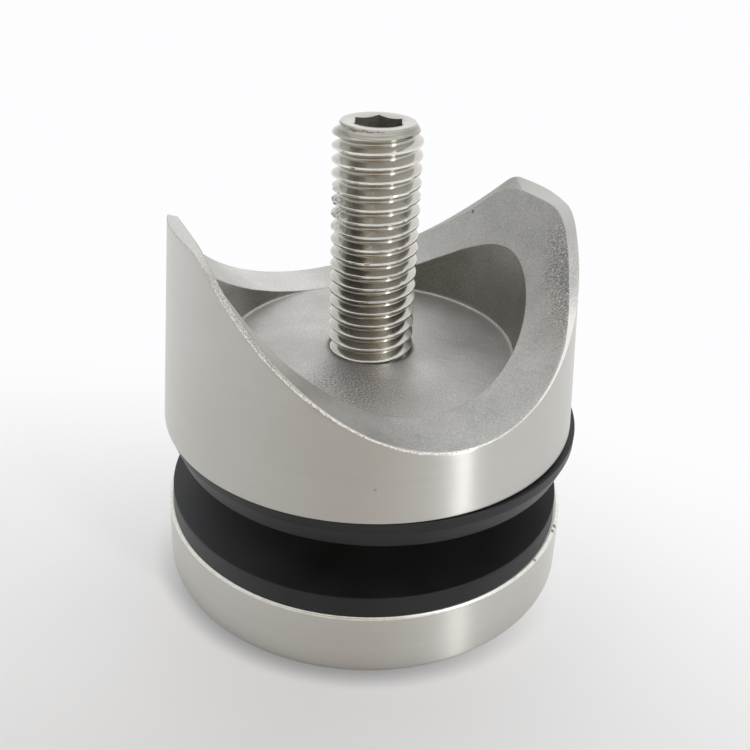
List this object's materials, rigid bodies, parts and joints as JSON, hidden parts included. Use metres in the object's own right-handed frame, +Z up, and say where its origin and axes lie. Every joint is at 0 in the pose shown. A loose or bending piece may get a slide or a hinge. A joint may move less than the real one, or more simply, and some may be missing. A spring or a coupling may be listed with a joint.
{
  "type": "glass panel standoff",
  "caption": "Round metal point fixing that clamps a glass panel between two black gaskets and seats on a round post with a saddle back and a threaded stud.",
  "frame": {"origin": "centre of the cap's front face, the face that the part stands on", "axes": "+Z up the stud, from the cap towards the post; Y along the post's axis; X across the saddle, from horn to horn"},
  "size_m": [0.0506, 0.0504, 0.054],
  "materials": {
    "body_steel": "satin outside, blasted casting inside",
    "cap_steel": "satin",
    "stud_steel": "rolled bright thread",
    "gasket_black": "satin",
    "sleeve_white": "matte"
  },
  "bodies": {
    "standoff": {"saddle_body": "body_steel", "threaded_stud": "stud_steel", "rear_gasket": "gasket_black", "glass_sleeve": "sleeve_white"},
    "front_ring": {"front_gasket": "gasket_black"},
    "cap": {"front_cap": "cap_steel"}
  },
  "joints": [
    {"name": "gap_travel", "type": "slide", "parent": "standoff", "child": "front_ring", "axis": [0, 0, -1], "range_m": [0, 0.00605]},
    {"name": "cap_turn", "type": "hinge", "parent": "front_ring", "child": "cap", "pos_m": [0, 0, 0.008], "axis": [0, 0, -1], "range_deg": [0, 1440]}
  ],
  "couplings": [
    {"joint": "gap_travel", "follows": "cap_turn", "m_per_rad": 0.00023873}
  ]
}
